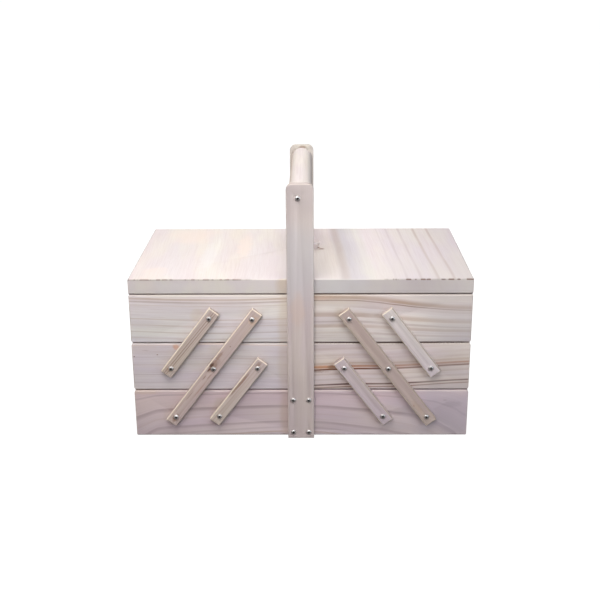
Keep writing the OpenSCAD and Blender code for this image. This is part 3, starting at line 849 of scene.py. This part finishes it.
def soften(node, width, segments=3):
    """Rounds a CAD node's edges with modifiers, which leave its own mesh as it is."""
    made = NODES[node]
    for polygon in made.data.polygons:
        polygon.use_smooth = True
    weld = made.modifiers.new("weld", "WELD")
    weld.merge_threshold = SAME_PLACE
    flat = made.modifiers.new("flat", "DECIMATE")
    flat.decimate_type = "DISSOLVE"
    flat.angle_limit = math.radians(1.0)
    bevel = made.modifiers.new("edges", "BEVEL")
    bevel.width = width
    bevel.segments = segments
    bevel.limit_method = "ANGLE"
    bevel.angle_limit = math.radians(25.0)
    bevel.harden_normals = True
    bevel.use_clamp_overlap = True


def dress(node, material):
    made = NODES[node]
    made.data.materials.clear()
    made.data.materials.append(material)


def link_axis(node):
    """The direction of a link at rest, from its lower end to its upper end."""
    low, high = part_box(node)
    lean = high.x - low.x
    inward = 1.0 if "left" in node else -1.0
    return Vector((inward * lean, 0.0, high.z - low.z)).normalized()


def varied(colour, seed, reach=0.05):
    """A colour a little lighter or darker and warmer or cooler than the one given."""
    turn = seed * 2.399
    shade = 1.0 + reach * math.sin(turn)
    warm = 0.5 * reach * math.cos(turn)
    return (colour[0] * (shade + warm), colour[1] * shade, colour[2] * (shade - warm))


LINK_TONES = {
    "left_front_upper_short_link": ((0.60, 0.51, 0.455), 0.55),
    "left_front_long_link": ((0.60, 0.48, 0.45), 0.30),
    "left_front_lower_short_link": ((0.62, 0.52, 0.475), 0.30),
    "right_front_upper_short_link": ((0.71, 0.635, 0.632), 0.10),
    "right_front_long_link": ((0.54, 0.435, 0.39), 0.22),
    "right_front_lower_short_link": ((0.62, 0.525, 0.54), 0.10),
}
# Places on a link are along it and across it, from its middle
LINK_SPOTS = {
    "left_front_long_link": (
        (3.0, 2.0, 12.0, 4.5, 0.60, BROWN), (2.0, 3.6, 4.2, 2.2, 0.95, KNOT_AND_SHADE),
        (-3.5, 2.8, 3.0, 1.3, 0.9, KNOT_AND_SHADE),
        (-12.5, 1.6, 4.5, 0.8, 0.7, UMBER), (-9.0, -1.5, 5.0, 0.7, 0.5, BROWN),
        (14.0, 3.4, 7.0, 2.2, 0.55, BROWN),
        (28.0, 1.0, 1.0, 0.9, 0.7, BROWN), (-36.0, 1.5, 9.0, 0.7, 0.5, UMBER),
        (-64.0, -1.5, 6.0, 3.6, 0.7, BROWN),
        (-25.0, -2.5, 12.0, 1.0, 0.35, RUST), (62.0, -1.0, 7.0, 5.0, 0.45, (0.72, 0.50, 0.36)),
    ),
    "left_front_upper_short_link": ((-33.0, 0.0, 6.0, 5.0, 0.30, TAN),),
    "left_front_lower_short_link": (
        (8.0, 4.2, 24.0, 1.7, 0.70, BROWN), (12.0, 3.6, 12.0, 0.8, 0.55, UMBER),
        (34.0, 3.0, 5.0, 2.5, 0.55, BROWN),
    ),
    "right_front_long_link": ((-50.0, 2.0, 12.0, 3.0, 0.3, TAN), (-46.0, 4.0, 1.2, 0.7, 0.7, RUST)),
}
LINK_BANDS = {
    "left_front_upper_short_link": (
        (-3.4, 0.7, 0.5, 0.45, TAN), (-1.6, 0.9, 0.5, 0.75, BROWN), (0.6, 0.8, 0.5, 0.80, BROWN),
        (2.6, 0.8, 0.5, 0.45, TAN),
    ),
    "left_front_lower_short_link": ((-2.4, 0.8, 0.6, 0.30, TAN), (0.8, 1.0, 0.6, 0.35, TAN)),
    "left_front_long_link": ((-3.0, 0.8, 0.6, 0.25, TAN), (2.0, 1.0, 0.6, 0.25, TAN)),
}

for order, name in enumerate(sorted(NODES)):
    seed = 10.0 + 1.7 * order
    # the downward arrises of the fronts and lids, over the gaps, are painted dark as shade
    if name in FRONT_BOARDS:
        dress(name, pine(name, low_dark=0.9, **FRONT_BOARDS[name]))
        soften(name, BOARD_EDGE)
    elif name in LIDS:
        dress(name, pine(name, low_dark=1.0, end_fade=0.9, **LIDS[name]))
        soften(name, BOARD_EDGE)
    elif name.endswith("rear_board"):
        dress(name, pine(name, seed=seed, face=-90.0, middle=middle(name).z / MM, pale=varied(PALE, seed),
                         flow=((-160, -4), (-60, 0), (40, 1), (160, -3))))
        soften(name, BOARD_EDGE)
    elif name.endswith("_board"):
        dress(name, pine(name, along="Y", across="Z", seed=seed, face=middle(name).x / MM,
                         middle=middle(name).z / MM, pale=varied(PALE, seed),
                         flow=((-90, 1), (0, -1), (90, 2))))
        soften(name, BOARD_EDGE)
    elif name.endswith("_link"):
        axis = link_axis(name)
        tone, strength = LINK_TONES.get(name, (varied((0.62, 0.52, 0.48), seed), 0.3))
        # painted light on the links: their arrises are painted a bright cream highlight, and those on the
        # side away from the light are painted dark as shade
        shaded = (0.9, 0.0, -0.45) if name.startswith("left") else (1.0, 0.0, 0.1)
        side = axis.cross(Vector((0, 1, 0)))
        dress(name, pine(name, along=axis, across=side, centre=middle(name), face=0.0, seed=seed,
                         spacing=2.4, strength=strength, wobble=0.5, pith=(-60.0, 20.0), pale=tone,
                         spots=LINK_SPOTS.get(name, ()), bands=LINK_BANDS.get(name, ()), arris=0.75,
                         arris_colour=(0.96, 0.85, 0.70), low_dark=0.6, dark_way=shaded))
        soften(name, SMALL_EDGE)
    elif name.endswith("_upright"):
        front = name.startswith("front")
        tone = (0.665, 0.57, 0.545) if front else (0.62, 0.58, 0.52)
        # patches on the front upright: the one at 20 is painted shade, darker towards the foot; the others
        # change the wood's tone
        upright_tone_and_shade = (
            (178.0, 0.0, 50.0, 60.0, 0.60, (0.62, 0.59, 0.60)),
            (250.0, 0.0, 40.0, 60.0, 0.55, (0.54, 0.47, 0.47)),
            (20.0, 0.0, 80.0, 60.0, 0.35, (0.47, 0.38, 0.37)),
            (132.0, -3.0, 22.0, 10.0, 0.35, (0.70, 0.52, 0.42)),
        )
        marks = ((248.0, 0.5, 2.0, 5.0, 0.70, BROWN),)
        dress(name, pine(name, along="Z", across="X", face=-90.0, seed=seed, spacing=9.0, strength=0.03,
                         wobble=2.0, figure=0.15, pale=tone, spots=upright_tone_and_shade if front else marks,
                         flow=((0, -1), (120, 1), (250, -1))))
        soften(name, BOARD_EDGE)
    elif name.endswith("dividers"):
        dress(name, pine(name, along="Y", across="Z", seed=seed, face=middle(name).x / MM,
                         pale=varied(PALE, seed)))
        soften(name, BOARD_EDGE)
    elif name.endswith("bottom_panel"):
        dress(name, PLYWOOD)
    elif name.endswith("knob"):
        # the dark band near the knob's foot is painted shade under its head
        dress(name, pine(name, along="Z", across="X", centre=middle(name), face=0.0, seed=seed, spacing=2.0,
                         pale=(0.76, 0.69, 0.70), pith=(-30.0, 10.0),
                         spots=((-3.6, 0.0, 2.8, 40.0, 0.9, UMBER),)))
        soften(name, SMALL_EDGE)
    elif name == "handle_rail":
        dress(name, pine(name, along="Y", across="X", centre=middle(name), face=0.0, seed=seed, spacing=4.0,
                         strength=0.06, figure=0.5, pale=(0.735, 0.668, 0.625), pith=(-60.0, 30.0),
                         # the two spots are painted shade on the rail's sides, grey on the right and warm on
                         # the left
                         spots=((0.0, 10.5, 300.0, 4.0, 0.55, (0.50, 0.46, 0.47)),
                                (0.0, -10.5, 300.0, 3.5, 0.45, (0.62, 0.48, 0.36)))))
    elif "hinge" in name:
        dress(name, HINGE_STEEL)
        soften(name, HINGE_EDGE)
    else:
        dress(name, SCREW_STEEL)

HEADS = head_mesh(HEAD_RADIUS)
for polygon in HEADS.polygons:
    # the faces that the cutter left, below the crown and inside the recess, get a steel painted dark as shade
    centre = polygon.center
    inside = math.hypot(centre.x, centre.y) < 0.5 * RECESS_LENGTH * 1.05
    between = 0.05 * HEAD_HEIGHT < centre.z < 0.93 * HEAD_HEIGHT
    polygon.material_index = 1 if inside and between else 0
for body, nodes in frame["record"]["behaviour"]["bodies"].items():
    for node in nodes:
        if node.endswith("screws"):
            detailed_screws(node, body, HEADS)

# ---------------------------------------------------------------- stage, light, camera
FLOOR_REACH = 40.0
WALL_HEIGHT = 40.0


def make_floor():
    """A pale floor that rises into a pale wall far away, all round."""
    count = 64
    profile = ((0.9, 0.0), (0.97, 0.02), (1.0, 0.08), (1.0, 1.0))
    outline = [(FLOOR_REACH * r, WALL_HEIGHT * h) for r, h in profile]
    verts = [(0.0, 0.0, 0.0)]
    faces = []
    for r, h in outline:
        for i in range(count):
            turn = 2 * math.pi * i / count
            verts.append((r * math.cos(turn), r * math.sin(turn), h))
    for i in range(count):
        j = (i + 1) % count
        faces.append((0, 1 + i, 1 + j))
        for ring in range(len(outline) - 1):
            start = 1 + ring * count
            faces.append((start + i, start + count + i, start + count + j, start + j))
    floor = bpy.data.objects.new("floor", solid("floor", verts, faces))
    bpy.context.scene.collection.objects.link(floor)
    material = bpy.data.materials.new("floor")
    material.use_nodes = True
    shader = material.node_tree.nodes["Principled BSDF"]
    shader.inputs["Base Color"].default_value = (0.16, 0.16, 0.16, 1.0)
    shader.inputs["Roughness"].default_value = 1.0
    shader.inputs["Specular IOR Level"].default_value = 0.0
    shader.inputs["Emission Color"].default_value = (1.0, 1.0, 1.0, 1.0)
    shader.inputs["Emission Strength"].default_value = 0.97
    floor.data.materials.append(material)
    floor.visible_diffuse = False
    floor.visible_glossy = False
    floor.visible_shadow = False


def area_light(name, place, target, size, power, colour):
    data = bpy.data.lights.new(name, "AREA")
    data.shape = "DISK"
    data.size = size
    data.energy = power
    data.color = colour
    light = bpy.data.objects.new(name, data)
    light.location = place
    light.rotation_euler = (Vector(target) - Vector(place)).to_track_quat("-Z", "Y").to_euler()
    bpy.context.scene.collection.objects.link(light)


def make_world():
    world = bpy.data.worlds.new("world")
    bpy.context.scene.world = world
    world.use_nodes = True
    tree = world.node_tree
    g = Graph(tree)
    up = g.split(g.node("ShaderNodeTexCoord").outputs["Generated"])[2]
    sky = g.remap(up, -0.25, 0.75)
    background = tree.nodes["Background"]
    g.feed(background.inputs["Color"], g.mix(sky, (0.40, 0.36, 0.35, 1.0), (1.0, 0.985, 0.97, 1.0)))
    background.inputs["Strength"].default_value = 0.42


CAMERA_PLACE = (0.0112, -0.9756, 0.4465)
CAMERA_DEGREES = {"yaw": -0.75, "pitch": 19.15, "roll": -0.38}
CAMERA_LENS = 60.65
SENSOR_WIDTH = 36.0


def make_camera():
    """The camera stands in front, a little right of the middle, and looks down by 19 degrees."""
    yaw, pitch, roll = (math.radians(CAMERA_DEGREES[name]) for name in ("yaw", "pitch", "roll"))
    forward = Vector((math.sin(yaw) * math.cos(pitch), math.cos(yaw) * math.cos(pitch), -math.sin(pitch)))
    level = Vector((math.cos(yaw), -math.sin(yaw), 0.0))
    upward = level.cross(forward)
    right = level * math.cos(roll) + upward * math.sin(roll)
    top = upward * math.cos(roll) - level * math.sin(roll)
    data = bpy.data.cameras.new("camera")
    data.lens = CAMERA_LENS
    data.sensor_width = SENSOR_WIDTH
    data.clip_end = 100.0
    camera = bpy.data.objects.new("camera", data)
    turn = Matrix((right, top, -forward)).transposed().to_4x4()
    camera.matrix_world = Matrix.Translation(CAMERA_PLACE) @ turn
    bpy.context.scene.collection.objects.link(camera)
    bpy.context.scene.camera = camera


make_floor()
make_world()
area_light("key", (-0.08, -0.50, 0.74), (0.0, -0.05, 0.08), 0.60, 3.9, (1.0, 0.99, 0.985))
area_light("rear", (-0.05, 0.60, 0.80), (0.0, 0.0, 0.12), 0.60, 3.7, (1.0, 0.99, 1.0))
area_light("left", (-1.10, -0.20, 0.50), (0.0, 0.0, 0.10), 0.60, 1.1, (1.0, 0.98, 0.96))
area_light("window", (1.05, -0.95, 0.45), (0.0, -0.1, 0.10), 0.50, 4.0, (0.72, 0.87, 1.0))
area_light("camera_side", (-0.24, -1.30, 0.58), (0.0, 0.0, 0.10), 0.06, 2.4, (1.0, 1.0, 1.0))
make_camera()
bpy.context.scene.view_settings.view_transform = "Standard"
